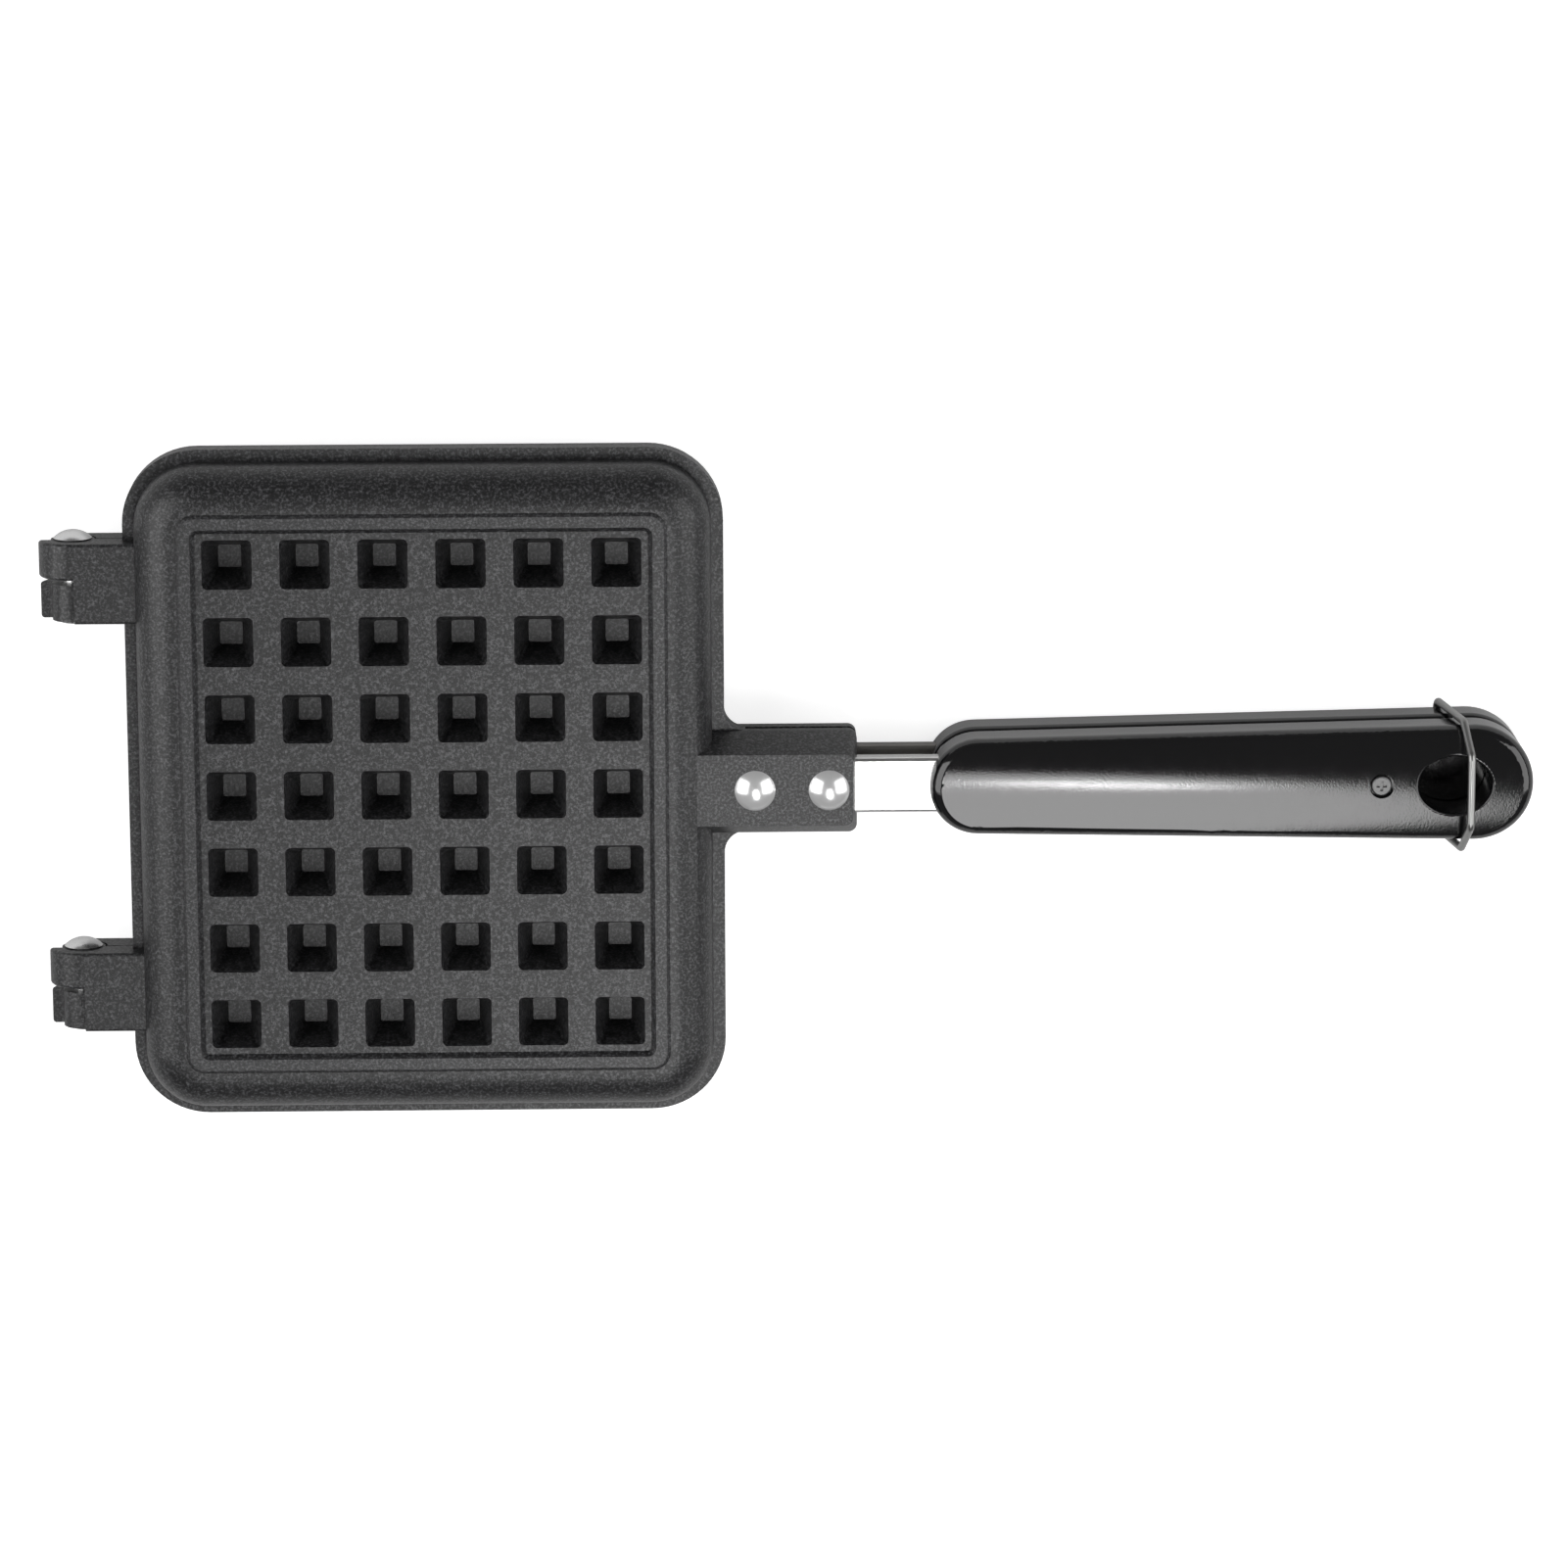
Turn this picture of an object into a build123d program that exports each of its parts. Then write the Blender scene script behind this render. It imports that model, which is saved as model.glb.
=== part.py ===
"""Stovetop waffle pan: two cast plates hinged at one end, each with its own handle.

Millimetres, +Z up. The closed pan lies flat on its lower plate, handles along +X.
The origin is the middle of its outline, on the surface that it stands on.
Each half is modelled the same way: its mating face is at z = 0, its outer face is up,
and the middle of its grid is at x = y = 0. Both halves are then put in their place.
"""

import os
from math import asin, atan2, cos, degrees, radians, sin

from build123d import *

# Waffle grid
pit_columns = 6
pit_rows = 7
pitch_x = 18.0
pitch_y = 18.25
pit_mouth = 11.6
pit_floor = 5.3
pit_depth = 12.0
pit_corner = 1.2
grid_margin = 1.5
wall = 2.6

# Raised frame that the plate stands on
plate_height = 17.0
plateau_drop = 1.4
plateau_slope = 1.1
plateau_corner = 2.0
frame_width = 2.6
frame_rise = 0.8
frame_slope = 0.8
frame_corner = 4.3

# Shoulder, flange and batter tray
shoulder_ledge = 0.4
shoulder_radius = 9.8
flange_width = 2.9
flange_thickness = 3.0
flange_corner = 17.5

# Hinge lugs and their pins
lug_spacing = 97.8
lug_width = 19.0
lug_height = 8.0
lug_relief = 0.25
lug_edge = 0.8
hinge_offset = 11.8
knuckle_radius = 5.1
knuckle_gap = 0.5
nose_gap = 1.6
nose_flat = 1.5
stop_offset = 0.6
pin_radius = 2.5
pin_head_radius = 4.5
pin_head_height = 1.9
pin_head_gap = 0.3
pin_tail_radius = 3.3
pin_tail_height = 0.7
running_clearance = 0.05

# Boss that holds the handle's tang
boss_length = 31.1
boss_height = 14.0
boss_base_width = 24.2
boss_top_width = 17.0
boss_wall_height = 4.5
boss_end_slope = 1.1
boss_corner = 2.0
boss_root_radius = 5.0
boss_relief = 1.0

# Tang and its two rivets
tang_width = 13.2
tang_thickness = 4.8
tang_level = 6.9
tang_corner = 1.0
tang_bare = 16.9
tang_seat_gap = 0.1
tang_end_wall = 3.4
rivet_radius = 2.5
rivet_spacing = 17.3
rivet_from_end = 6.8
rivet_head_radius = 4.75
rivet_head_height = 2.1
rivet_tail_radius = 3.6
rivet_tail_depth = 1.1

# Handle grips
grip_length = 141.5
grip_root_radius = 11.4
grip_end_radius = 13.8
grip_gap = 2.0
grip_thickness = 13.6
grip_crown = 45.0
grip_edge = 3.4
grip_inner_edge = 2.0

# Screw that holds each grip on its tang
screw_from_end = 35.9
screw_radius = 1.5
screw_head_radius = 2.45
screw_head_height = 1.6
screw_recess_radius = 2.9
screw_recess_depth = 2.0
screw_slot = 0.7
tang_past_screw = 4.6

# Hanging eye near the end of the grips
eye_length = 17.2
eye_width = 13.6
eye_from_end = 18.6
eye_rim = 0.7
eye_floor = 3.0

# Wire bail that holds the handles together
wire_radius = 0.9
bail_from_end = 20.2
bail_level = -11.0
bail_height = 32.6
bail_shoulder_height = 24.6
bail_lean = 7.8
bail_top_width = 16.8
bail_side_gap = 0.6
bail_depth = 5.0
bail_end_gap = 0.3
bail_bend = 1.9

# Sizes worked out from the ones above
plateau_level = plate_height - plateau_drop
shoulder_level = plate_height - frame_rise
tray_depth = plateau_level - wall
bump_tip_level = plateau_level - pit_depth - wall
pit_draft = atan2((pit_mouth - pit_floor) / 2, pit_depth)
bump_growth = 2 * wall * (1 - sin(pit_draft)) / cos(pit_draft)

rim_step = plateau_slope + frame_width
plateau_x = (pit_columns - 1) * pitch_x / 2 + pit_mouth / 2 + grid_margin
plateau_y = (pit_rows - 1) * pitch_y / 2 + pit_mouth / 2 + grid_margin
body_x = plateau_x + rim_step + frame_slope + shoulder_ledge + shoulder_radius
body_y = plateau_y + rim_step + frame_slope + shoulder_ledge + shoulder_radius
body_corner = flange_corner - flange_width
flange_x = body_x + flange_width
flange_y = body_y + flange_width

hinge_x = -flange_x - hinge_offset
nose_width = (lug_width - nose_gap) / 2
pin_length = lug_width + pin_head_gap

boss_end = flange_x + boss_length
tang_start = body_x + tang_end_wall
grip_start = boss_end + tang_bare
grip_end = grip_start + grip_length
grip_face = grip_gap / 2
grip_top = grip_face + grip_thickness
screw_x = grip_end - screw_from_end
tang_end = screw_x + tang_past_screw
eye_x = grip_end - eye_from_end
rivet_places = [boss_end - rivet_from_end - rivet_spacing, boss_end - rivet_from_end]

bail_x = grip_end - bail_from_end
grip_taper = (grip_end_radius - grip_root_radius) / (
    grip_length - grip_end_radius - grip_root_radius)
grip_half_at_bail = grip_end_radius - grip_taper * (bail_from_end - grip_end_radius)
bail_half = grip_half_at_bail + bail_side_gap + wire_radius
bail_inner = grip_half_at_bail - bail_depth

# Places of the two halves in the closed pan
pan_x = (flange_x + hinge_offset + lug_height - grip_end) / 2
mating_origin = (pan_x, 0, plate_height)
upper_half = Plane(origin=mating_origin, x_dir=(1, 0, 0), z_dir=(0, 0, 1))
lower_half = Plane(origin=mating_origin, x_dir=(1, 0, 0), z_dir=(0, 0, -1))


def pit_space():
    """The hollow of one pit: a square with rounded corners that narrows to its floor."""
    with BuildPart() as space:
        with BuildSketch(Plane.XY.offset(plateau_level)):
            RectangleRounded(pit_mouth, pit_mouth, pit_corner)
        with BuildSketch(Plane.XY.offset(plateau_level - pit_depth)):
            RectangleRounded(pit_floor, pit_floor, pit_corner * pit_floor / pit_mouth)
        loft(ruled=True)
    return space.part


def pyramid():
    """The other side of one pit: a blunt pyramid that stands in the batter tray."""
    with BuildPart() as shape:
        with BuildSketch(Plane.XY.offset(tray_depth)):
            Rectangle(pit_mouth + bump_growth, pit_mouth + bump_growth)
        with BuildSketch(Plane.XY.offset(bump_tip_level)):
            Rectangle(pit_floor + bump_growth, pit_floor + bump_growth)
        loft(ruled=True)
    return shape.part


def tray_space():
    """The hollow that the batter fills, before the pyramids are set in it."""
    with BuildPart() as space:
        with BuildSketch():
            RectangleRounded(2 * (body_x - wall), 2 * (body_y - wall), body_corner - wall)
        extrude(amount=tray_depth)
        fillet(space.edges().group_by(Axis.Z)[-1], shoulder_radius - wall)
    return space.part


def nose_profile():
    """Side view of the half of a hinge lug that carries the pin."""
    with BuildSketch() as profile:
        with Locations((hinge_x, 0)):
            Circle(lug_height)
        with Locations((hinge_x, nose_flat)):
            Rectangle(2 * lug_height, 2 * lug_height, align=(Align.CENTER, Align.MAX),
                      mode=Mode.SUBTRACT)
        with Locations((hinge_x, 0)):
            Circle(knuckle_radius)
        with Locations((hinge_x, lug_relief)):
            Rectangle(-body_x + wall / 2 - hinge_x, lug_height - lug_relief,
                      align=(Align.MIN, Align.MIN))
    return profile.sketch_local


def cover_profile():
    """Side view of the half of a hinge lug that reaches over the other plate's knuckle."""
    cover_start = hinge_x + stop_offset
    with BuildSketch() as profile:
        with Locations((cover_start, lug_relief)):
            Rectangle(-body_x + wall / 2 - cover_start, lug_height - lug_relief,
                      align=(Align.MIN, Align.MIN))
        with Locations((hinge_x, 0)):
            Circle(knuckle_radius + knuckle_gap, mode=Mode.SUBTRACT)
    return profile.sketch_local


def hinge_lug(middle_y):
    """One lug: a nose with the knuckle on its +Y half, a cover on its -Y half."""
    with BuildPart() as lug:
        with BuildSketch(Plane.XZ.offset(-middle_y - lug_width / 2)):
            add(nose_profile())
        extrude(amount=nose_width)
        with BuildSketch(Plane.XZ.offset(-middle_y - nose_gap / 2)):
            add(cover_profile())
        extrude(amount=nose_gap + nose_width)
        top_edges = lug.edges().filter_by(Axis.X).group_by(Axis.Z)[-1]
        fillet(top_edges, lug_edge)
    return lug.part


def handle_boss():
    """The block that takes the tang, with sides that lean in above a short upright wall."""
    length = boss_end - body_x + shoulder_radius
    middle = boss_end - length / 2
    with BuildPart() as boss:
        with BuildSketch():
            with Locations((middle, 0)):
                RectangleRounded(length, boss_base_width, boss_corner)
        extrude(amount=boss_wall_height)
        with BuildSketch(Plane.XY.offset(boss_wall_height)):
            with Locations((middle, 0)):
                RectangleRounded(length, boss_base_width, boss_corner)
        with BuildSketch(Plane.XY.offset(boss_height)):
            with Locations((middle - boss_end_slope / 2, 0)):
                RectangleRounded(length - boss_end_slope, boss_top_width, boss_corner)
        loft(ruled=True)
    return boss.part


def flange_outline():
    """Outline of the mating flange with the boss's foot blended into it."""
    with BuildSketch() as outline:
        RectangleRounded(2 * flange_x, 2 * flange_y, flange_corner)
        with Locations((flange_x, 0)):
            Rectangle(boss_length - boss_corner, boss_base_width, align=(Align.MIN, Align.CENTER))
        roots = outline.vertices().sort_by(
            lambda v: abs(v.X - flange_x) + abs(abs(v.Y) - boss_base_width / 2))[:2]
        fillet(roots, boss_root_radius)
    return outline.sketch_local


def casting():
    """One plate as it is cast, outer face up, mating face at z = 0, without its pin bore."""
    pit = pit_space()
    bump = pyramid()
    tray = tray_space()
    boss = handle_boss()
    lugs = [hinge_lug(side * lug_spacing / 2) for side in (-1, 1)]
    with BuildPart() as shell:
        with BuildSketch():
            RectangleRounded(2 * body_x, 2 * body_y, body_corner)
        extrude(amount=shoulder_level)
        fillet(shell.edges().group_by(Axis.Z)[-1], shoulder_radius)
        with BuildSketch():
            add(flange_outline())
        extrude(amount=flange_thickness)
        add(boss)
        add(lugs)
        with BuildSketch(Plane.XY.offset(shoulder_level)):
            RectangleRounded(2 * (plateau_x + rim_step + frame_slope),
                             2 * (plateau_y + rim_step + frame_slope), frame_corner)
        extrude(amount=frame_rise, taper=degrees(atan2(frame_slope, frame_rise)))
        with BuildSketch(Plane(origin=(0, 0, plate_height), x_dir=(1, 0, 0), z_dir=(0, 0, -1))):
            RectangleRounded(2 * (plateau_x + plateau_slope),
                             2 * (plateau_y + plateau_slope), plateau_corner)
        extrude(amount=plateau_drop, taper=degrees(atan2(plateau_slope, plateau_drop)),
                mode=Mode.SUBTRACT)
        add(tray, mode=Mode.SUBTRACT)
        with GridLocations(pitch_x, pitch_y, pit_columns, pit_rows):
            add(bump)
        with GridLocations(pitch_x, pitch_y, pit_columns, pit_rows):
            add(pit, mode=Mode.SUBTRACT)
        add(boss_cuts(), mode=Mode.SUBTRACT)
    return shell.part


def plate(cast, pin_bore_radius):
    """One casting with the hinge pins' bore drilled through its knuckles."""
    with BuildPart() as drilled:
        add(cast)
        with BuildSketch(Plane.XZ):
            with Locations((hinge_x, 0)):
                Circle(pin_bore_radius)
        extrude(amount=lug_spacing, both=True, mode=Mode.SUBTRACT)
    return drilled.part


def boss_cuts():
    """The tang's slot, the rivet bores and the relief under the boss."""
    with BuildPart() as cuts:
        slot_start = tang_start - tang_seat_gap
        with BuildSketch(Plane.YZ.offset(slot_start)):
            with Locations((0, tang_level)):
                RectangleRounded(tang_width + 2 * tang_seat_gap,
                                 tang_thickness + 2 * tang_seat_gap, tang_corner)
        extrude(amount=boss_end - slot_start)
        for place in rivet_places:
            with BuildSketch():
                with Locations((place, 0)):
                    Circle(rivet_radius)
            extrude(amount=boss_height)
            with BuildSketch(Plane.XY.offset(boss_relief)):
                with Locations((place, 0)):
                    Circle(rivet_tail_radius)
            with BuildSketch(Plane.XY.offset(boss_relief + rivet_tail_depth)):
                with Locations((place, 0)):
                    Circle(rivet_radius)
            loft()
        with BuildSketch():
            with Locations((flange_x + boss_root_radius, 0)):
                Rectangle(boss_length, boss_base_width, align=(Align.MIN, Align.CENTER))
        extrude(amount=boss_relief)
    return cuts.part


def tang():
    """The flat steel bar between the boss and the grip."""
    with BuildPart() as bar:
        with BuildSketch(Plane.YZ.offset(tang_start)):
            with Locations((0, tang_level)):
                RectangleRounded(tang_width, tang_thickness, tang_corner)
        extrude(amount=tang_end - tang_start)
        with BuildSketch(Plane.XY.offset(tang_level - tang_thickness)):
            with Locations([(place, 0) for place in rivet_places]):
                Circle(rivet_radius)
            with Locations((screw_x, 0)):
                Circle(screw_radius)
        extrude(amount=2 * tang_thickness, mode=Mode.SUBTRACT)
    return bar.part


def dome(radius, height):
    """Half section of a domed head, from its axis outwards, seated at height 0."""
    ball = (radius ** 2 + height ** 2) / (2 * height)
    half_turn = asin(radius / ball) / 2
    middle = (ball * sin(half_turn), height - ball + ball * cos(half_turn))
    with BuildSketch() as section:
        with BuildLine():
            ThreePointArc((0, height), middle, (radius, 0))
            Line((radius, 0), (0, 0))
            Line((0, 0), (0, height))
        make_face()
    return section.sketch_local


def rivet(place):
    """A round-headed rivet, its tail spread flush with the underside of the boss."""
    with BuildPart() as body:
        with BuildSketch(Plane.XZ):
            add(dome(rivet_head_radius, rivet_head_height))
        revolve(axis=Axis.Z)
        with BuildSketch():
            Circle(rivet_radius)
        extrude(amount=-(boss_height - boss_relief))
        with BuildSketch(Plane.XY.offset(boss_relief - boss_height)):
            Circle(rivet_tail_radius)
        with BuildSketch(Plane.XY.offset(boss_relief - boss_height + rivet_tail_depth)):
            Circle(rivet_radius)
        loft()
    with BuildPart() as placed:
        with Locations((place, 0, boss_height)):
            add(body.part)
    return placed.part


def hinge_pin(middle_y):
    """A pin across one pair of lugs: domed head on the +Y side, spread tail on the other."""
    head_face = middle_y + lug_width / 2 + pin_head_gap
    head_plane = Plane(origin=(hinge_x, head_face, 0), x_dir=(1, 0, 0), z_dir=(0, 1, 0))
    with BuildPart() as pin:
        with BuildSketch(Plane.XZ):
            add(dome(pin_head_radius, pin_head_height))
        revolve(axis=Axis.Z)
        with BuildSketch():
            Circle(pin_radius)
        extrude(amount=-pin_length)
        with BuildSketch(Plane.XY.offset(-pin_length)):
            Circle(pin_tail_radius)
        extrude(amount=-pin_tail_height)
        fillet(pin.edges().group_by(Axis.Z)[0], pin_tail_height / 2)
    with BuildPart() as placed:
        with Locations(head_plane):
            add(pin.part)
    return placed.part


def plain_grip():
    """One moulded handle grip before its eye is cut, its flat face towards the other grip."""
    with BuildPart() as body:
        with BuildSketch(Plane.XY.offset(grip_face)):
            with Locations((grip_start + grip_root_radius, 0)):
                Circle(grip_root_radius)
            with Locations((grip_end - grip_end_radius, 0)):
                Circle(grip_end_radius)
            make_hull()
        extrude(amount=grip_thickness)
        with BuildSketch(Plane.YZ.offset(grip_start)):
            with Locations((0, grip_top - grip_crown)):
                Circle(grip_crown)
        extrude(amount=grip_length, mode=Mode.INTERSECT)
        crowned = body.faces().sort_by(Axis.Z)[-1]
        fillet(crowned.edges(), grip_edge)
        fillet(body.edges().group_by(Axis.Z)[0], grip_inner_edge)
        with BuildSketch(Plane.YZ.offset(grip_start)):
            with Locations((0, tang_level)):
                RectangleRounded(tang_width + 2 * tang_seat_gap,
                                 tang_thickness + 2 * tang_seat_gap, tang_corner)
        extrude(amount=tang_end + tang_seat_gap - grip_start, mode=Mode.SUBTRACT)
        with BuildSketch(Plane.XY.offset(tang_level)):
            with Locations((screw_x, 0)):
                Circle(screw_radius)
        extrude(amount=grip_thickness, mode=Mode.SUBTRACT)
        with BuildSketch(Plane.XY.offset(grip_top - screw_recess_depth)):
            with Locations((screw_x, 0)):
                Circle(screw_recess_radius)
        extrude(amount=screw_recess_depth, mode=Mode.SUBTRACT)
    return body.part


def upper_grip():
    """The grip that the bail lies over, with the hanging eye right through it."""
    with BuildPart() as body:
        add(plain_grip())
        with BuildSketch(Plane.XY.offset(grip_face)):
            with Locations((eye_x, 0)):
                Ellipse(eye_length / 2, eye_width / 2)
        extrude(amount=grip_thickness, mode=Mode.SUBTRACT)
        rims = body.edges().filter_by(
            lambda edge: abs(edge.bounding_box().size.X - eye_length) < eye_rim)
        fillet(rims.sort_by(Axis.Z)[-1], eye_rim)
    return body.part


def lower_grip():
    """The grip that carries the bail, with a blind pocket under the other grip's eye."""
    with BuildPart() as body:
        add(plain_grip())
        with BuildSketch(Plane.XY.offset(grip_face)):
            with Locations((eye_x, 0)):
                Ellipse(eye_length / 2, eye_width / 2)
        extrude(amount=grip_thickness - eye_floor, mode=Mode.SUBTRACT)
        for side in (-1, 1):
            with BuildSketch(Plane.XZ.offset(side * bail_half)):
                with Locations((bail_x, -bail_level)):
                    Circle(wire_radius + running_clearance)
            extrude(amount=-side * (bail_half - bail_inner), mode=Mode.SUBTRACT)
    return body.part


def grip_screw():
    """Pan-head screw through the grip into the tang."""
    head_seat = grip_top - screw_recess_depth
    tip = tang_level - tang_thickness / 2
    with BuildPart() as screw:
        with BuildSketch(Plane.XY.offset(tip)):
            with Locations((screw_x, 0)):
                Circle(screw_radius)
        extrude(amount=head_seat - tip)
        with BuildSketch(Plane.XY.offset(head_seat)):
            with Locations((screw_x, 0)):
                Circle(screw_head_radius)
        extrude(amount=screw_head_height)
        fillet(screw.edges().group_by(Axis.Z)[-1], screw_head_height / 3)
        with BuildSketch(Plane.XY.offset(head_seat + screw_head_height)):
            with Locations((screw_x, 0)):
                Rectangle(screw_head_radius, screw_slot)
                Rectangle(screw_slot, screw_head_radius)
        extrude(amount=-screw_slot, mode=Mode.SUBTRACT)
    return screw.part


def bail():
    """The wire loop over the upper grip, its ends turned into the lower grip's sides."""
    lean = radians(bail_lean)
    plane = Plane(origin=(bail_x, 0, bail_level), x_dir=(0, 1, 0),
                  z_dir=(cos(lean), 0, -sin(lean)))
    side = [(bail_inner + bail_end_gap, 0), (bail_half, 0), (bail_half, bail_shoulder_height),
            (bail_top_width / 2, bail_height)]
    points = side + [(-y, h) for y, h in reversed(side)]
    with BuildPart() as wire:
        with BuildLine(plane):
            route = FilletPolyline(*points, radius=bail_bend)
        with BuildSketch(Plane(origin=route @ 0, z_dir=route % 0)):
            Circle(wire_radius)
        sweep(path=route)
    return wire.part


def save(name, shape, place):
    """Put one piece in its place in the closed pan and write it to its own file."""
    with BuildPart() as piece:
        with Locations(place):
            add(shape)
    piece.part.label = name
    export_step(piece.part, "parts/" + name + ".step")


def main():
    """Build every piece of the closed pan."""
    os.makedirs("parts", exist_ok=True)
    cast = casting()
    save("top_plate", plate(cast, pin_radius + running_clearance), upper_half)
    save("bottom_plate", plate(cast, pin_radius), lower_half)
    save("top_handle", upper_grip(), upper_half)
    save("bottom_handle", lower_grip(), lower_half)
    for half, place in {"top": upper_half, "bottom": lower_half}.items():
        save(half + "_tang", tang(), place)
        save(half + "_inner_rivet", rivet(rivet_places[0]), place)
        save(half + "_outer_rivet", rivet(rivet_places[1]), place)
        save(half + "_handle_screw", grip_screw(), place)
    save("north_hinge_pin", hinge_pin(lug_spacing / 2), upper_half)
    save("south_hinge_pin", hinge_pin(-lug_spacing / 2), upper_half)
    save("latch_bail", bail(), upper_half)


main()
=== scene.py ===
"""A stovetop waffle pan on a white studio floor: finishes, edge rounding, lights and camera."""
import logging
from dataclasses import dataclass, field
from enum import Enum
from typing import Any

import bmesh
import bpy
import numpy as np
from mathutils import Matrix, Vector


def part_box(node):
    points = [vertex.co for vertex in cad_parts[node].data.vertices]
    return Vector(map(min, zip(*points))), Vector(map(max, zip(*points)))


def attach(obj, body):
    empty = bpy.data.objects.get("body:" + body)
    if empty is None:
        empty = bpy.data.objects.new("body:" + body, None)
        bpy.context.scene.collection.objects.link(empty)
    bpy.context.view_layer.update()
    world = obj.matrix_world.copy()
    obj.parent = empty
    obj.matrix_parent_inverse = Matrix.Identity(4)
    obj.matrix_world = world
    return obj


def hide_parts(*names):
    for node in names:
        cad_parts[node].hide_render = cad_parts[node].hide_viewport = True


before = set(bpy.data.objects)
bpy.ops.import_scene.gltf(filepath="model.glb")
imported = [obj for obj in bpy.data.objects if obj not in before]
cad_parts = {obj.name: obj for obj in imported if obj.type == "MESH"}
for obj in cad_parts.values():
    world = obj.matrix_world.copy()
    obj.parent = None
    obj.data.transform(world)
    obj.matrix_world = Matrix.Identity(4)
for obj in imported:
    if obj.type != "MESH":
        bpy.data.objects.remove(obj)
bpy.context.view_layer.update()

MM = 0.001
log = logging.getLogger("waffle_pan")


class Half(Enum):
    """The two halves of the pan."""

    TOP = "top"
    BOTTOM = "bottom"

    @property
    def body(self) -> str:
        """Name of the body that this half's pieces ride on."""
        return f"{self.value}_half"


class Front(Enum):
    """Outline of a soft box's front, as Blender names it."""

    SQUARE = "RECTANGLE"
    ROUND = "ELLIPSE"


def linear(hex_code: str) -> tuple[float, float, float, float]:
    """Turn an sRGB hex colour into linear RGBA, by the sRGB standard's own curve.

    Args:
        hex_code: Six hex digits, such as "3a3a3b".

    Returns:
        Linear red, green, blue and an alpha of 1.
    """
    srgb = np.array([int(hex_code[i:i + 2], 16) for i in (0, 2, 4)]) / 255
    low = srgb / 12.92
    high = ((srgb + 0.055) / 1.055) ** 2.4
    return (*np.where(srgb <= 0.04045, low, high).tolist(), 1.0)


def add_node(tree: bpy.types.NodeTree, kind: str, inputs: dict[str | int, Any] | None = None,
             **settings: Any) -> bpy.types.Node:
    """Add one shader node.

    Args:
        tree: Node tree that takes the node.
        kind: Blender's name of the node type.
        inputs: Socket name or number to a value, or to an output socket to link.
        settings: Properties of the node itself.

    Returns:
        The new node.
    """
    node = tree.nodes.new(kind)
    for name, value in settings.items():
        setattr(node, name, value)
    for key, value in (inputs or {}).items():
        if isinstance(value, bpy.types.NodeSocket):
            tree.links.new(value, node.inputs[key])
        else:
            node.inputs[key].default_value = value
    return node


def per_metre(size_mm: float) -> float:
    """Texture scale whose pattern repeats about once in the given length."""
    return 1 / (size_mm * MM)


def read_rows(items: bpy.types.bpy_prop_collection, attribute: str, width: int) -> np.ndarray:
    """Read an attribute of every item of a mesh.

    Args:
        items: The mesh's vertices, polygons or corner normals.
        attribute: Name of the attribute.
        width: How many numbers it holds.

    Returns:
        One row for each item.
    """
    rows = np.empty(len(items) * width)
    items.foreach_get(attribute, rows)
    return rows.reshape(-1, width)


def blank(name: str) -> tuple[bpy.types.Material, bpy.types.NodeTree, bpy.types.NodeSocket]:
    """Start a material that holds only its texture coordinates.

    Args:
        name: The material's name.

    Returns:
        The material, its node tree and its Object coordinates.
    """
    material = bpy.data.materials.new(name)
    material.use_nodes = True
    tree = material.node_tree
    tree.nodes.clear()
    coordinates = add_node(tree, "ShaderNodeTexCoord")
    return material, tree, coordinates.outputs["Object"]


def close_material(tree: bpy.types.NodeTree, shader: bpy.types.Node) -> None:
    """Link a shader to a new material output."""
    add_node(tree, "ShaderNodeOutputMaterial", {"Surface": shader.outputs[0]})


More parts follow.
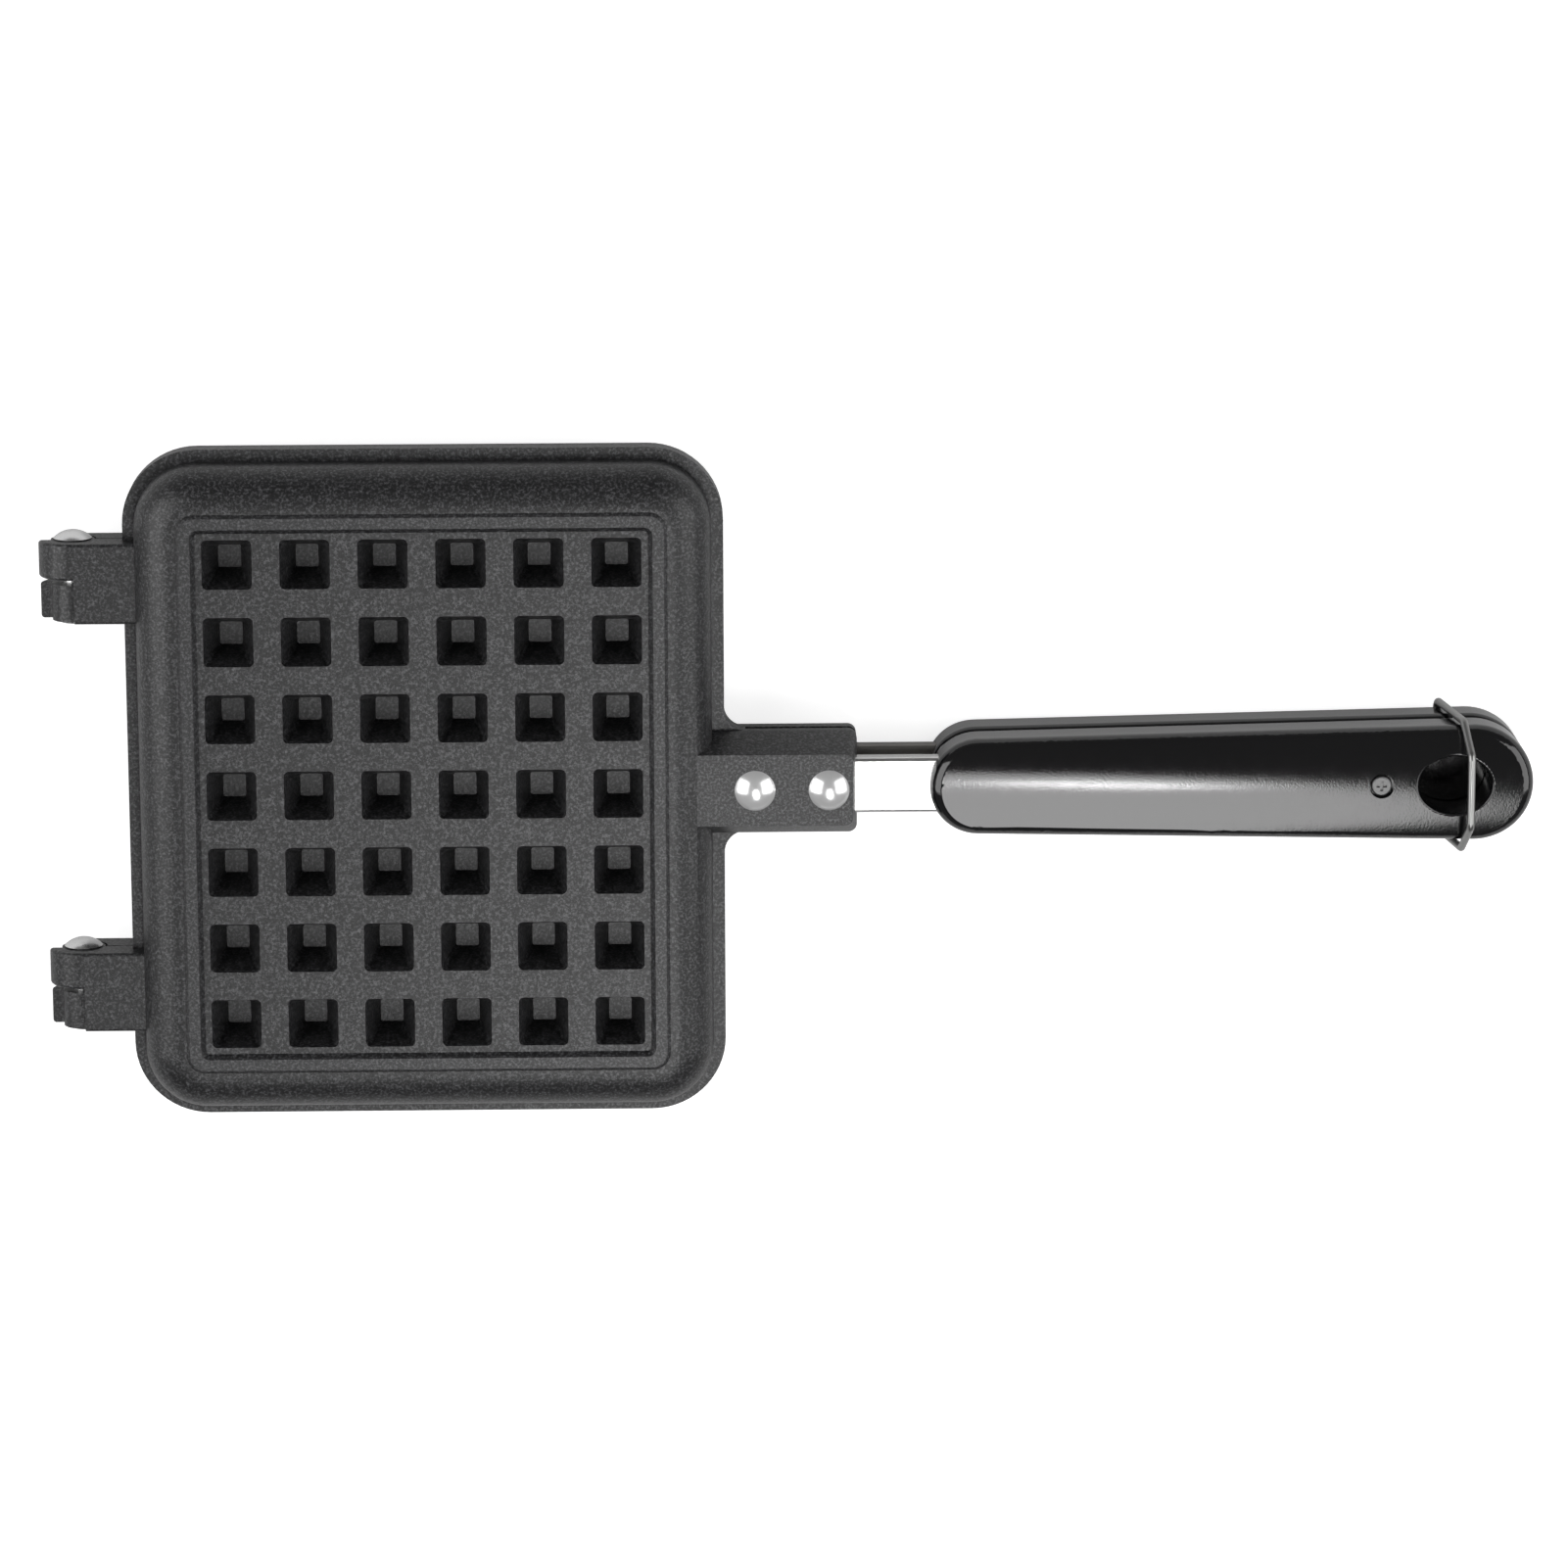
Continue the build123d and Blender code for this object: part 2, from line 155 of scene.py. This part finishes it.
@dataclass(frozen=True)
class NonstickCoating:
    """Satin non-stick coating, sprayed and baked on a cast aluminium plate.

    Fine mineral flecks give a pale grain and the sprayed coat is slightly pebbled. The
    outermost faces of the frame that the pan stands on are painted a little paler, a painted
    sheen. Flecks are drawn about twice their real size, so that they show. A fleck begins
    where its noise passes one level and is full at the next, and its middle is glossier than
    the coat round it.
    """

    name: str = "nonstick_on_cast_aluminium"
    ground: str = "0d0d0e"
    fleck: str = "505052"
    # Paler colour of the frame's outermost faces: a painted sheen, not wear.
    painted_sheen: str = "1c1c1d"
    fleck_mm: float = 0.62
    fleck_octaves: float = 2.0
    fleck_harshness: float = 0.7
    fleck_begins: float = 0.47
    fleck_full: float = 0.74
    pebble_mm: float = 0.9
    pebble_octaves: float = 3.0
    pebble_height_mm: float = 0.06
    roughness: float = 0.4
    roughness_spread: float = 0.1
    refractive_index: float = 1.47
    sheen_begins_mm: float = 0.7
    sheen_full_mm: float = 0.1

    def material(self) -> bpy.types.Material:
        """Build the material."""
        material, tree, place = blank(self.name)
        grain = add_node(tree, "ShaderNodeTexNoise",
                         {"Vector": place, "Scale": per_metre(self.fleck_mm),
                          "Detail": self.fleck_octaves, "Roughness": self.fleck_harshness})
        flecks = add_node(tree, "ShaderNodeMapRange",
                          {"Value": grain.outputs["Fac"], "From Min": self.fleck_begins,
                           "From Max": self.fleck_full})
        # Painted sheen: the frame's outermost faces are painted paler than the rest of the coat.
        sheen = self.frame_sheen(tree, place)
        coat = add_node(tree, "ShaderNodeMix",
                        {"Factor": sheen, "A": linear(self.ground), "B": linear(self.painted_sheen)},
                        data_type="RGBA")
        colour = add_node(tree, "ShaderNodeMix",
                          {"Factor": flecks.outputs["Result"], "A": coat.outputs["Result"],
                           "B": linear(self.fleck)}, data_type="RGBA")
        pebble = add_node(tree, "ShaderNodeTexNoise",
                          {"Vector": place, "Scale": per_metre(self.pebble_mm),
                           "Detail": self.pebble_octaves})
        bump = add_node(tree, "ShaderNodeBump",
                        {"Height": pebble.outputs["Fac"], "Distance": self.pebble_height_mm * MM})
        rough = add_node(tree, "ShaderNodeMapRange",
                         {"Value": grain.outputs["Fac"],
                          "To Min": self.roughness + self.roughness_spread,
                          "To Max": self.roughness - self.roughness_spread})
        shader = add_node(tree, "ShaderNodeBsdfPrincipled",
                          {"Base Color": colour.outputs["Result"], "Normal": bump.outputs["Normal"],
                           "Roughness": rough.outputs["Result"], "IOR": self.refractive_index})
        close_material(tree, shader)
        return material

    def frame_sheen(self, tree: bpy.types.NodeTree,
                   place: bpy.types.NodeSocket) -> bpy.types.NodeSocket:
        """Find how much painted sheen a point gets: 1 on the two outermost faces, 0 below them.

        The plates' outermost faces lie at one distance above and below the parting plane, so
        the painted sheen follows the distance of a point from that plane.

        Args:
            tree: The material's node tree.
            place: Its Object coordinates.

        Returns:
            The socket that holds the wear.
        """
        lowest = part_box("bottom_plate")[0][2]
        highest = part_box("top_plate")[1][2]
        reach = (highest - lowest) / 2
        axes = add_node(tree, "ShaderNodeSeparateXYZ", {"Vector": place})
        above = add_node(tree, "ShaderNodeMath", {0: axes.outputs["Z"], 1: lowest + reach},
                         operation="SUBTRACT")
        outwards = add_node(tree, "ShaderNodeMath", {0: above.outputs[0]}, operation="ABSOLUTE")
        sheen = add_node(tree, "ShaderNodeMapRange",
                        {"Value": outwards.outputs[0],
                         "From Min": reach - self.sheen_begins_mm * MM,
                         "From Max": reach - self.sheen_full_mm * MM})
        return sheen.outputs["Result"]


@dataclass(frozen=True)
class PhenolicMoulding:
    """Black phenolic resin, compression moulded in a polished die.

    It is glossy and nearly black. A fine orange peel roughens the edge of each reflection.
    """

    name: str = "black_phenolic_moulding"
    colour: str = "0a0a0b"
    peel_mm: float = 0.45
    peel_octaves: float = 2.0
    peel_height_mm: float = 0.012
    haze_mm: float = 3.0
    haze_octaves: float = 4.0
    roughness: float = 0.085
    glossier_by: float = 0.03
    duller_by: float = 0.05
    refractive_index: float = 1.62

    def material(self) -> bpy.types.Material:
        """Build the material."""
        material, tree, place = blank(self.name)
        peel = add_node(tree, "ShaderNodeTexNoise",
                        {"Vector": place, "Scale": per_metre(self.peel_mm),
                         "Detail": self.peel_octaves})
        bump = add_node(tree, "ShaderNodeBump",
                        {"Height": peel.outputs["Fac"], "Distance": self.peel_height_mm * MM})
        haze = add_node(tree, "ShaderNodeTexNoise",
                        {"Vector": place, "Scale": per_metre(self.haze_mm),
                         "Detail": self.haze_octaves})
        rough = add_node(tree, "ShaderNodeMapRange",
                         {"Value": haze.outputs["Fac"],
                          "To Min": self.roughness - self.glossier_by,
                          "To Max": self.roughness + self.duller_by})
        shader = add_node(tree, "ShaderNodeBsdfPrincipled",
                          {"Base Color": linear(self.colour), "Normal": bump.outputs["Normal"],
                           "Roughness": rough.outputs["Result"], "IOR": self.refractive_index})
        close_material(tree, shader)
        return material


@dataclass(frozen=True)
class BareMetal:
    """A bare metal face with fine marks.

    The marks are noise of the given size along X, Y and Z. Where one size is the largest they
    run that way, and highlights break up along them.
    """

    name: str
    colour: str
    roughness: float
    mark_mm: tuple[float, float, float]
    mark_height_mm: float = 0.006
    metallic: float = 1.0
    mark_octaves: float = 4.0
    glossier_by: float = 0.06
    duller_by: float = 0.1

    def material(self) -> bpy.types.Material:
        """Build the material."""
        material, tree, place = blank(self.name)
        stretch = add_node(tree, "ShaderNodeMapping",
                           {"Vector": place, "Scale": tuple(per_metre(s) for s in self.mark_mm)})
        marks = add_node(tree, "ShaderNodeTexNoise",
                         {"Vector": stretch.outputs["Vector"], "Scale": 1.0,
                          "Detail": self.mark_octaves})
        bump = add_node(tree, "ShaderNodeBump",
                        {"Height": marks.outputs["Fac"], "Distance": self.mark_height_mm * MM})
        rough = add_node(tree, "ShaderNodeMapRange",
                         {"Value": marks.outputs["Fac"],
                          "To Min": self.roughness - self.glossier_by,
                          "To Max": self.roughness + self.duller_by})
        shader = add_node(tree, "ShaderNodeBsdfPrincipled",
                          {"Base Color": linear(self.colour), "Normal": bump.outputs["Normal"],
                           "Roughness": rough.outputs["Result"], "Metallic": self.metallic})
        close_material(tree, shader)
        return material


@dataclass(frozen=True)
class StudioFloor:
    """Pale seamless paper, which the pan shades.

    It glows as much as it takes to look white to the camera, and a little in reflections.
    """

    name: str = "white_paper"
    colour: str = "cfcfcf"
    mirrored_lift: float = 0.05
    seen_lift: float = 0.72

    def material(self) -> bpy.types.Material:
        """Build the material."""
        material, tree, _ = blank(self.name)
        path = add_node(tree, "ShaderNodeLightPath")
        mirrored = add_node(tree, "ShaderNodeMath",
                            {0: path.outputs["Is Glossy Ray"],
                             1: path.outputs["Is Transmission Ray"]}, operation="MAXIMUM")
        mirrored = add_node(tree, "ShaderNodeMath",
                            {0: mirrored.outputs[0], 1: self.mirrored_lift},
                            operation="MULTIPLY")
        strength = add_node(tree, "ShaderNodeMath",
                            {0: path.outputs["Is Camera Ray"], 1: self.seen_lift,
                             2: mirrored.outputs[0]}, operation="MULTIPLY_ADD")
        paper = add_node(tree, "ShaderNodeBsdfDiffuse", {"Color": linear(self.colour)})
        glow = add_node(tree, "ShaderNodeEmission", {"Strength": strength.outputs[0]})
        both = add_node(tree, "ShaderNodeAddShader", {0: paper.outputs[0], 1: glow.outputs[0]})
        close_material(tree, both)
        return material


@dataclass(frozen=True)
class EdgeRound:
    """The small round on a piece's edges: its width, its steps and how sharp an edge gets it."""

    width_mm: float
    sharp_degrees: float
    steps: int = 2


@dataclass
class EasedPieces:
    """The coated plates, the moulded grips and the steel tangs, with their edges rounded.

    Each is a copy of its CAD shape. A sand casting, a moulding and a sheared bar all have a
    small round on every edge, which catches the light.
    """

    coating: NonstickCoating = field(default_factory=NonstickCoating)
    phenolic: PhenolicMoulding = field(default_factory=PhenolicMoulding)
    bars: dict[Half, BareMetal] = field(default_factory=lambda: {
        Half.TOP: BareMetal("bright_flat_bar_steel", colour="d9d9d8", roughness=0.24,
                            mark_mm=(8.0, 0.12, 0.12)),
        # The lower tang is the same steel as the upper one. Its darker colour is painted shade, for
        # the shade between the plates, and its rougher marks make it duller.
        Half.BOTTOM: BareMetal("painted_shade_dull_flat_bar_steel", colour="7d7b78", roughness=0.38,
                               mark_mm=(5.0, 0.5, 0.5), mark_height_mm=0.03)})
    cast_edge: EdgeRound = EdgeRound(width_mm=0.45, sharp_degrees=24)
    moulded_edge: EdgeRound = EdgeRound(width_mm=0.35, sharp_degrees=42)
    sheared_edge: EdgeRound = EdgeRound(width_mm=0.3, sharp_degrees=42)
    weld_mm: float = 0.0005
    flat_degrees: float = 0.2
    crown_radius_mm: float = 45.0
    crown_slack_mm: float = 0.12
    crown_facet_degrees: float = 8.0

    def build(self) -> None:
        """Make a rounded stand-in for each plate, grip and tang."""
        coating = self.coating.material()
        phenolic = self.phenolic.material()
        for half in Half:
            self.ease(half, "plate", "casting", coating, self.cast_edge)
            grip = self.ease(half, "handle", "grip", phenolic,
                             self.moulded_edge)
            self.smooth_crown(grip, half)
            self.ease(half, "tang", "bar", self.bars[half].material(),
                      self.sheared_edge)

    def ease(self, half: Half, node: str, name: str, material: bpy.types.Material,
             edge: EdgeRound) -> bpy.types.Object:
        """Make the rounded stand-in for one CAD node.

        Args:
            half: The half of the pan that it belongs to.
            node: Last word of the CAD node's name.
            name: Last word of the new piece's name.
            material: Its finish.
            edge: Its rounds.

        Returns:
            The new piece.
        """
        node = f"{half.value}_{node}"
        piece = self.welded_copy(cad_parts[node], f"{half.value}_{name}", edge)
        piece.data.materials.append(material)
        bevel = piece.modifiers.new("edge_round", "BEVEL")
        bevel.width = edge.width_mm * MM
        bevel.segments = edge.steps
        bevel.limit_method = "WEIGHT"
        weights = piece.modifiers.new("flat_faces", "WEIGHTED_NORMAL")
        weights.keep_sharp = True
        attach(piece, half.body)
        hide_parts(node)
        log.info("%s has %d faces before rounding", piece.name, len(piece.data.polygons))
        return piece

    def smooth_crown(self, grip: bpy.types.Object, half: Half) -> None:
        """Give the crowned back of a grip the exact normals of its cylinder.

        The back is part of a cylinder along X. Its normal at a corner is the line from the
        cylinder's axis to that corner, made one long. A corner belongs to the back if it lies
        on the cylinder and its face looks the same way as that line.

        Args:
            grip: The rounded grip.
            half: The half of the pan that it belongs to.
        """
        shown = grip.evaluated_get(bpy.context.evaluated_depsgraph_get())
        mesh = bpy.data.meshes.new_from_object(shown)
        grip.modifiers.clear()
        grip.data = mesh
        vertex = read_rows(mesh.loops, "vertex_index", 1)[:, 0].astype(int)
        place = read_rows(mesh.vertices, "co", 3)[vertex]
        normal = read_rows(mesh.corner_normals, "vector", 3)
        corners = read_rows(mesh.polygons, "loop_total", 1)[:, 0].astype(int)
        facing = np.repeat(read_rows(mesh.polygons, "normal", 3), corners, axis=0)
        low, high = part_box(f"{half.value}_handle")
        radius = self.crown_radius_mm * MM
        axis = high[2] - radius if half is Half.TOP else low[2] + radius
        spoke = (place - (0, 0, axis)) * (0, 1, 1)
        reach = np.linalg.norm(spoke, axis=1)
        spoke /= reach[:, None]
        crowned = ((np.abs(reach - radius) < self.crown_slack_mm * MM)
                   & ((facing * spoke).sum(axis=1) > np.cos(np.radians(self.crown_facet_degrees))))
        normal[crowned] = spoke[crowned]
        mesh.normals_split_custom_set(normal.tolist())
        log.info("%s has %d crowned corners", grip.name, crowned.sum())

    def welded_copy(self, source: bpy.types.Object, name: str,
                    edge: EdgeRound) -> bpy.types.Object:
        """Copy a CAD shape, join its loose triangles and mark the edges to round.

        Triangles in one plane are merged. Only edges that stand out are marked, so that the
        foot of a step stays a crisp crease.

        Args:
            source: The CAD object.
            name: Name of the new piece.
            edge: The rounds.

        Returns:
            The new piece.
        """
        shape = bmesh.new()
        shape.from_mesh(source.data)
        bmesh.ops.remove_doubles(shape, verts=shape.verts, dist=self.weld_mm * MM)
        bmesh.ops.dissolve_limit(shape, angle_limit=np.radians(self.flat_degrees),
                                 use_dissolve_boundaries=False, verts=shape.verts,
                                 edges=shape.edges)
        shape.normal_update()
        weight = shape.edges.layers.float.new("bevel_weight_edge")
        sharp = np.radians(edge.sharp_degrees)
        for line in shape.edges:
            turn = line.calc_face_angle_signed() if line.is_manifold else 0.0
            line[weight] = float(turn > sharp)
            line.smooth = turn > -sharp
        mesh = bpy.data.meshes.new(name)
        shape.to_mesh(mesh)
        shape.free()
        mesh.shade_smooth()
        piece = bpy.data.objects.new(name, mesh)
        bpy.context.scene.collection.objects.link(piece)
        return piece


@dataclass(frozen=True)
class SoftBox:
    """A soft box that faces the pan.

    It stands the given metres away from the origin. Its lean is how far that is from straight
    above, in degrees towards +X and +Y, and its glow is the radiance of its front, where 1 is
    white. A round front is smaller than its square, and about a quarter brighter for its glow.
    """

    name: str
    away: float
    lean: tuple[float, float]
    size: tuple[float, float]
    glow: float
    front: Front = Front.SQUARE
    watts_per_glow: float = 4.0

    def hang(self) -> None:
        """Hang the box."""
        lamp = bpy.data.lights.new(self.name, "AREA")
        lamp.shape = self.front.value
        lamp.size, lamp.size_y = self.size
        lamp.energy = self.glow * self.size[0] * self.size[1] * self.watts_per_glow
        east, north = np.radians(self.lean)
        towards = Vector((np.tan(east), np.tan(north), 1.0)).normalized()
        box = bpy.data.objects.new(self.name, lamp)
        box.location = towards * self.away
        box.rotation_mode = "QUATERNION"
        box.rotation_quaternion = (-towards).to_track_quat("-Z", "Y")
        bpy.context.scene.collection.objects.link(box)


@dataclass
class Studio:
    """Floor, lights and camera.

    The floor is a square, with its side in metres. The camera's place, turn and focal length
    were fitted to the pits as the photograph shows them, and its turn is a rotation vector in
    radians. The room's glow falls from the horizon's to the ceiling's as the sine of a
    direction's height goes from 0 to horizon_height, and the camera sees the room as plain
    white.
    """

    floor: StudioFloor = field(default_factory=StudioFloor)
    floor_size: float = 12.0
    camera_place_mm: tuple[float, float, float] = (-32.16, 325.43, 1480.83)
    camera_turn: tuple[float, float, float] = (-0.21967, -0.02162, -0.00548)
    sensor_mm: float = 36.0
    focal_px: float = 6500.0
    photo_width_px: float = 1601.0
    ceiling: float = 0.13
    horizon: float = 0.25
    horizon_height: float = 0.2
    backdrop: float = 1.0
    soft_boxes: tuple[SoftBox, ...] = (
        SoftBox("overhead", away=1.1, lean=(4.5, -22.0), size=(0.44, 0.84), glow=3.2,
                front=Front.ROUND),
        SoftBox("hot_spot", away=1.05, lean=(8.0, -10.0), size=(0.03, 0.13), glow=18.0,
                front=Front.ROUND),
        SoftBox("west_side", away=1.1, lean=(-53.0, 12.0), size=(1.05, 1.0), glow=2.2),
        SoftBox("east_side", away=1.1, lean=(53.0, 12.0), size=(1.05, 1.0), glow=1.9))

    def build(self) -> None:
        """Make the whole studio."""
        self.lay_floor()
        self.hang_lights()
        self.light_world()
        self.place_camera()

    def lay_floor(self) -> None:
        """Lay the paper under the pan."""
        half = self.floor_size / 2
        corners = [(-half, -half, 0), (half, -half, 0), (half, half, 0), (-half, half, 0)]
        mesh = bpy.data.meshes.new("floor")
        mesh.from_pydata(corners, [], [(0, 1, 2, 3)])
        mesh.materials.append(self.floor.material())
        floor = bpy.data.objects.new("floor", mesh)
        bpy.context.scene.collection.objects.link(floor)

    def hang_lights(self) -> None:
        """Hang the soft boxes: one overhead with its hot spot, and one low on each side."""
        for box in self.soft_boxes:
            box.hang()

    def light_world(self) -> None:
        """Light the room: pale round the horizon and dim overhead."""
        world = bpy.data.worlds.new("studio")
        world.use_nodes = True
        tree = world.node_tree
        tree.nodes.clear()
        where = add_node(tree, "ShaderNodeTexCoord")
        height = add_node(tree, "ShaderNodeSeparateXYZ", {"Vector": where.outputs["Generated"]})
        level = add_node(tree, "ShaderNodeMapRange",
                         {"Value": height.outputs["Z"], "From Min": 0.0,
                          "From Max": self.horizon_height,
                          "To Min": self.horizon, "To Max": self.ceiling})
        path = add_node(tree, "ShaderNodeLightPath")
        seen = add_node(tree, "ShaderNodeMix",
                        {"Factor": path.outputs["Is Camera Ray"], "A": level.outputs["Result"],
                         "B": self.backdrop})
        fill = add_node(tree, "ShaderNodeBackground",
                        {"Color": (1, 1, 1, 1), "Strength": seen.outputs["Result"]})
        add_node(tree, "ShaderNodeOutputWorld", {"Surface": fill.outputs[0]})
        bpy.context.scene.world = world

    def place_camera(self) -> None:
        """Put the camera where the photograph was taken."""
        lens = bpy.data.cameras.new("camera")
        lens.sensor_width = self.sensor_mm
        lens.lens = self.sensor_mm * self.focal_px / self.photo_width_px
        turn = Vector(self.camera_turn)
        camera = bpy.data.objects.new("camera", lens)
        camera.matrix_world = (Matrix.Translation(Vector(self.camera_place_mm) * MM)
                               @ Matrix.Rotation(turn.length, 4, turn))
        bpy.context.scene.collection.objects.link(camera)
        bpy.context.scene.camera = camera


@dataclass
class CadFinishes:
    """Finishes of the pieces whose CAD shape is shown as it is, by the end of their name.

    Headed rivets are bright and slightly milky, and their marks are fine dents. The marks of
    the pins and of the wire run along Y, the length of a pin and of the bail's bar. The screws
    are blackened and dull.
    """

    finishes: dict[str, BareMetal] = field(default_factory=lambda: {
        "rivet": BareMetal("headed_aluminium_rivet", colour="e6e6e6", roughness=0.2,
                           mark_mm=(0.5, 0.5, 0.5), mark_height_mm=0.003, metallic=0.65),
        "hinge_pin": BareMetal("headed_steel_pin", colour="dcdcdc", roughness=0.2,
                               mark_mm=(0.4, 1.2, 0.4)),
        "handle_screw": BareMetal("blackened_steel_screw", colour="6a6a6a", roughness=0.4,
                                  mark_mm=(0.3, 0.3, 0.3)),
        "latch_bail": BareMetal("drawn_spring_wire", colour="8c8c8b", roughness=0.3,
                                mark_mm=(0.4, 4.0, 0.4))})

    def dress(self) -> None:
        """Give each shown CAD node its finish."""
        for ending, finish in self.finishes.items():
            material = finish.material()
            for node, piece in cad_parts.items():
                if node.endswith(ending):
                    piece.data.materials.clear()
                    piece.data.materials.append(material)
                    log.info("%s is %s", node, material.name)


def main() -> None:
    """Build the studio, then dress the pan."""
    logging.basicConfig(level=logging.INFO)
    bpy.context.scene.view_settings.view_transform = "Standard"
    Studio().build()
    EasedPieces().build()
    CadFinishes().dress()


if __name__ == "__main__":
    main()
